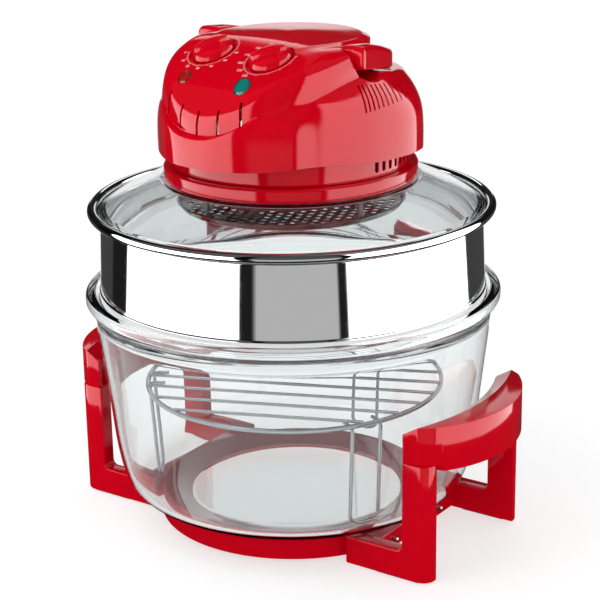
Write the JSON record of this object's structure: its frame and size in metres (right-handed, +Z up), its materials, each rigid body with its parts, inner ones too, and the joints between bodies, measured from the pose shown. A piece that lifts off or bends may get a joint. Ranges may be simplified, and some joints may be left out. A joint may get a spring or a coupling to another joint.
{
  "type": "halogen oven",
  "caption": "Countertop halogen oven: glass bowl on a two-handled stand, steel extension ring and a lift-off glass lid carrying a control head.",
  "frame": {"origin": "on the surface that the oven stands on, under the centre of the bowl", "axes": "+Z up, -Y towards the front where the control panel looks, the two stand handles on +X and -X"},
  "size_m": [0.4, 0.34, 0.406],
  "materials": {
    "red_abs": "glossy moulded",
    "rubber": "matt moulded",
    "zinc_steel": "zinc plated",
    "clear_glass": "clear pressed",
    "polished_steel": "mirror polished stainless",
    "chromed_wire": "chrome plated wire",
    "silicone": "matt moulded",
    "black_nylon": "moulded",
    "aluminium": "stamped",
    "steatite": "unglazed",
    "lamp_quartz": "ruby coated quartz",
    "red_lens": "moulded, faceted",
    "green_lens": "moulded, faceted"
  },
  "bodies": {
    "stand": {"stand_ring": "red_abs", "side_frame_left": "red_abs", "side_frame_right": "red_abs", "handle_bar_left": "red_abs", "handle_bar_right": "red_abs", "rubber_foot_left_front": "rubber", "rubber_foot_left_rear": "rubber", "rubber_foot_right_front": "rubber", "rubber_foot_right_rear": "rubber", "frame_screw_left_front": "zinc_steel", "frame_screw_left_rear": "zinc_steel", "frame_screw_right_front": "zinc_steel", "frame_screw_right_rear": "zinc_steel"},
    "bowl": {"glass_bowl": "clear_glass"},
    "rack": {"wire_rack": "chromed_wire", "rack_leg_1": "chromed_wire", "rack_leg_2": "chromed_wire", "rack_leg_3": "chromed_wire"},
    "extension": {"extension_ring": "polished_steel"},
    "lid_and_head": {"glass_lid": "clear_glass", "lid_seal": "silicone", "lid_clamp_ring": "zinc_steel", "head_base": "red_abs", "vent_band": "red_abs", "upper_cover": "red_abs", "pivot_pin_left": "zinc_steel", "pivot_pin_right": "zinc_steel", "timer_body": "black_nylon", "thermostat_body": "black_nylon", "red_lens": "red_lens", "green_lens": "green_lens", "motor_body": "aluminium", "motor_bracket": "zinc_steel", "reflector_plate": "polished_steel", "halogen_lamp": "lamp_quartz", "lamp_holder_1": "steatite", "lamp_holder_2": "steatite", "lamp_clip": "zinc_steel", "guard_dish": "polished_steel", "standoff_1": "polished_steel", "standoff_2": "polished_steel", "standoff_3": "polished_steel", "standoff_4": "polished_steel", "micro_switch": "black_nylon", "terminal_block": "steatite", "cord_gland": "black_nylon", "cover_screw_1": "zinc_steel", "cover_screw_2": "zinc_steel", "cover_screw_3": "zinc_steel", "cover_screw_4": "zinc_steel"},
    "bail": {"bail_handle": "red_abs"},
    "timer": {"timer_knob": "red_abs", "timer_shaft": "zinc_steel"},
    "thermostat": {"thermostat_knob": "red_abs", "thermostat_shaft": "zinc_steel"},
    "rotor": {"motor_shaft": "zinc_steel", "cooling_fan": "aluminium", "air_fan": "aluminium"},
    "interlock": {"switch_plunger": "black_nylon"}
  },
  "joints": [
    {"name": "bowl_lift", "type": "slide", "parent": "stand", "child": "bowl", "axis": [0, 0, 1], "range_m": [0, 0.16]},
    {"name": "rack_lift", "type": "slide", "parent": "bowl", "child": "rack", "axis": [0, 0, 1], "range_m": [0, 0.12]},
    {"name": "ring_lift", "type": "slide", "parent": "bowl", "child": "extension", "axis": [0, 0, 1], "range_m": [0, 0.15]},
    {"name": "lid_lift", "type": "slide", "parent": "extension", "child": "lid_and_head", "axis": [0, 0, 1], "range_m": [0, 0.2]},
    {"name": "bail_swing", "type": "hinge", "parent": "lid_and_head", "child": "bail", "pos_m": [0.0003, 0.00198, 0.3935], "axis": [0.989, -0.1478, 0], "range_deg": [0, 95]},
    {"name": "timer_turn", "type": "hinge", "parent": "lid_and_head", "child": "timer", "pos_m": [-0.03845, -0.04754, 0.3939], "axis": [-0.0604, -0.404, 0.9128], "range_deg": [-300, 0]},
    {"name": "thermostat_turn", "type": "hinge", "parent": "lid_and_head", "child": "thermostat", "pos_m": [0.02287, -0.0567, 0.3939], "axis": [-0.0604, -0.404, 0.9128], "range_deg": [-270, 0]},
    {"name": "rotor_spin", "type": "hinge", "parent": "lid_and_head", "child": "rotor", "pos_m": [0, 0, 0.3], "axis": [0, 0, 1], "continuous": true},
    {"name": "plunger_travel", "type": "slide", "parent": "lid_and_head", "child": "interlock", "axis": [0, 0, 1], "range_m": [0, 0.003]}
  ],
  "couplings": [
    {"joint": "plunger_travel", "follows": "bail_swing", "m_per_rad": 0.0018}
  ]
}
